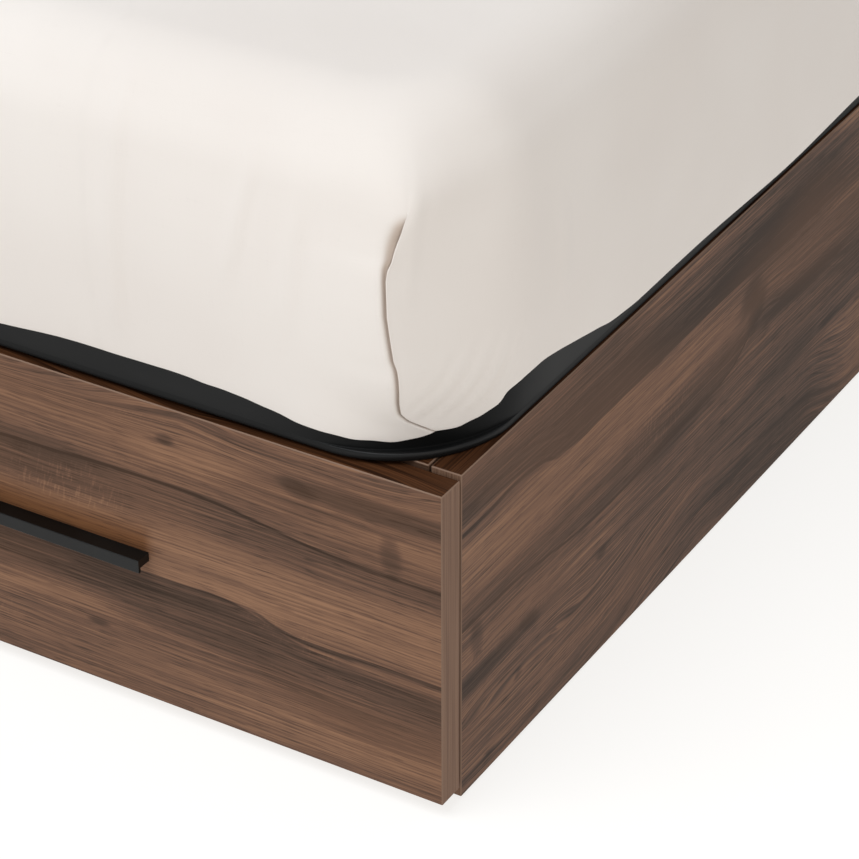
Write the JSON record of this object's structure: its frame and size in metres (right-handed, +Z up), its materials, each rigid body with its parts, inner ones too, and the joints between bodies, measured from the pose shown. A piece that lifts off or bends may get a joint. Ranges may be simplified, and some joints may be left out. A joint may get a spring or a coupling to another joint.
{
  "type": "platform bed with storage drawers",
  "caption": "Low walnut-laminate platform bed with side storage drawers on roller runners, black hook pulls, a black-bordered mattress and a cream sheet.",
  "frame": {"origin": "on the floor, under the middle of the bed's footprint", "axes": "+X along the bed towards the foot end, +Y towards the left-hand drawers, +Z up"},
  "size_m": [2.036, 1.561, 0.5565],
  "materials": {
    "walnut_laminate": "satin",
    "inner_board": "matte",
    "hardboard": "matte",
    "black_metal": "satin",
    "runner_steel": "satin",
    "roller_nylon": "satin",
    "zinc": "satin",
    "glide_plastic": "matte",
    "bumper_rubber": "satin",
    "mattress_border": "matte",
    "sheet_cotton": "matte"
  },
  "bodies": {
    "base": {"foot_panel": "walnut_laminate", "head_panel": "walnut_laminate", "center_spine": "inner_board", "right_cross_divider": "inner_board", "left_cross_divider": "inner_board", "right_top_rail": "walnut_laminate", "left_top_rail": "walnut_laminate", "foot_deck_panel": "walnut_laminate", "middle_deck_panel": "walnut_laminate", "head_deck_panel": "walnut_laminate", "deck_cleats": "inner_board", "floor_glides": "glide_plastic", "corner_brackets": "zinc", "front_bumpers": "bumper_rubber", "mattress": "mattress_border", "sheet": "sheet_cotton", "right_foot_cabinet_rails": "runner_steel", "right_head_cabinet_rails": "runner_steel", "left_foot_cabinet_rails": "runner_steel", "left_head_cabinet_rails": "runner_steel"},
    "right_foot_drawer": {"right_foot_drawer_front": "walnut_laminate", "right_foot_drawer_side_left": "inner_board", "right_foot_drawer_side_right": "inner_board", "right_foot_drawer_back": "inner_board", "right_foot_drawer_bottom": "hardboard", "right_foot_drawer_pull": "black_metal", "right_foot_drawer_batten": "inner_board", "right_foot_drawer_rails": "runner_steel"},
    "right_foot_front_rollers": {"right_foot_front_rollers": "roller_nylon"},
    "right_foot_rear_rollers": {"right_foot_rear_rollers": "roller_nylon"},
    "right_head_drawer": {"right_head_drawer_front": "walnut_laminate", "right_head_drawer_side_left": "inner_board", "right_head_drawer_side_right": "inner_board", "right_head_drawer_back": "inner_board", "right_head_drawer_bottom": "hardboard", "right_head_drawer_pull": "black_metal", "right_head_drawer_batten": "inner_board", "right_head_drawer_rails": "runner_steel"},
    "right_head_front_rollers": {"right_head_front_rollers": "roller_nylon"},
    "right_head_rear_rollers": {"right_head_rear_rollers": "roller_nylon"},
    "left_foot_drawer": {"left_foot_drawer_front": "walnut_laminate", "left_foot_drawer_side_left": "inner_board", "left_foot_drawer_side_right": "inner_board", "left_foot_drawer_back": "inner_board", "left_foot_drawer_bottom": "hardboard", "left_foot_drawer_pull": "black_metal", "left_foot_drawer_batten": "inner_board", "left_foot_drawer_rails": "runner_steel"},
    "left_foot_front_rollers": {"left_foot_front_rollers": "roller_nylon"},
    "left_foot_rear_rollers": {"left_foot_rear_rollers": "roller_nylon"},
    "left_head_drawer": {"left_head_drawer_front": "walnut_laminate", "left_head_drawer_side_left": "inner_board", "left_head_drawer_side_right": "inner_board", "left_head_drawer_back": "inner_board", "left_head_drawer_bottom": "hardboard", "left_head_drawer_pull": "black_metal", "left_head_drawer_batten": "inner_board", "left_head_drawer_rails": "runner_steel"},
    "left_head_front_rollers": {"left_head_front_rollers": "roller_nylon"},
    "left_head_rear_rollers": {"left_head_rear_rollers": "roller_nylon"}
  },
  "joints": [
    {"name": "right_foot_drawer_slide", "type": "slide", "parent": "base", "child": "right_foot_drawer", "axis": [0, -1, 0], "range_m": [0, 0.4]},
    {"name": "right_foot_front_rollers_spin", "type": "hinge", "parent": "base", "child": "right_foot_front_rollers", "pos_m": [0.501, -0.724, 0.04115], "axis": [1, 0, 0], "range_deg": [0, 2085]},
    {"name": "right_foot_rear_rollers_spin", "type": "hinge", "parent": "right_foot_drawer", "child": "right_foot_rear_rollers", "pos_m": [0.501, -0.206, 0.03935], "axis": [1, 0, 0], "range_deg": [0, 2085]},
    {"name": "right_head_drawer_slide", "type": "slide", "parent": "base", "child": "right_head_drawer", "axis": [0, -1, 0], "range_m": [0, 0.4]},
    {"name": "right_head_front_rollers_spin", "type": "hinge", "parent": "base", "child": "right_head_front_rollers", "pos_m": [-0.501, -0.724, 0.04115], "axis": [1, 0, 0], "range_deg": [0, 2085]},
    {"name": "right_head_rear_rollers_spin", "type": "hinge", "parent": "right_head_drawer", "child": "right_head_rear_rollers", "pos_m": [-0.501, -0.206, 0.03935], "axis": [1, 0, 0], "range_deg": [0, 2085]},
    {"name": "left_foot_drawer_slide", "type": "slide", "parent": "base", "child": "left_foot_drawer", "axis": [0, 1, 0], "range_m": [0, 0.4]},
    {"name": "left_foot_front_rollers_spin", "type": "hinge", "parent": "base", "child": "left_foot_front_rollers", "pos_m": [0.501, 0.724, 0.04115], "axis": [-1, 0, 0], "range_deg": [0, 2085]},
    {"name": "left_foot_rear_rollers_spin", "type": "hinge", "parent": "left_foot_drawer", "child": "left_foot_rear_rollers", "pos_m": [0.501, 0.206, 0.03935], "axis": [-1, 0, 0], "range_deg": [0, 2085]},
    {"name": "left_head_drawer_slide", "type": "slide", "parent": "base", "child": "left_head_drawer", "axis": [0, 1, 0], "range_m": [0, 0.4]},
    {"name": "left_head_front_rollers_spin", "type": "hinge", "parent": "base", "child": "left_head_front_rollers", "pos_m": [-0.501, 0.724, 0.04115], "axis": [-1, 0, 0], "range_deg": [0, 2085]},
    {"name": "left_head_rear_rollers_spin", "type": "hinge", "parent": "left_head_drawer", "child": "left_head_rear_rollers", "pos_m": [-0.501, 0.206, 0.03935], "axis": [-1, 0, 0], "range_deg": [0, 2085]}
  ],
  "couplings": [
    {"joint": "right_foot_front_rollers_spin", "follows": "right_foot_drawer_slide", "rad_per_m": 90.909},
    {"joint": "right_foot_rear_rollers_spin", "follows": "right_foot_drawer_slide", "rad_per_m": 90.909},
    {"joint": "right_head_front_rollers_spin", "follows": "right_head_drawer_slide", "rad_per_m": 90.909},
    {"joint": "right_head_rear_rollers_spin", "follows": "right_head_drawer_slide", "rad_per_m": 90.909},
    {"joint": "left_foot_front_rollers_spin", "follows": "left_foot_drawer_slide", "rad_per_m": 90.909},
    {"joint": "left_foot_rear_rollers_spin", "follows": "left_foot_drawer_slide", "rad_per_m": 90.909},
    {"joint": "left_head_front_rollers_spin", "follows": "left_head_drawer_slide", "rad_per_m": 90.909},
    {"joint": "left_head_rear_rollers_spin", "follows": "left_head_drawer_slide", "rad_per_m": 90.909}
  ]
}
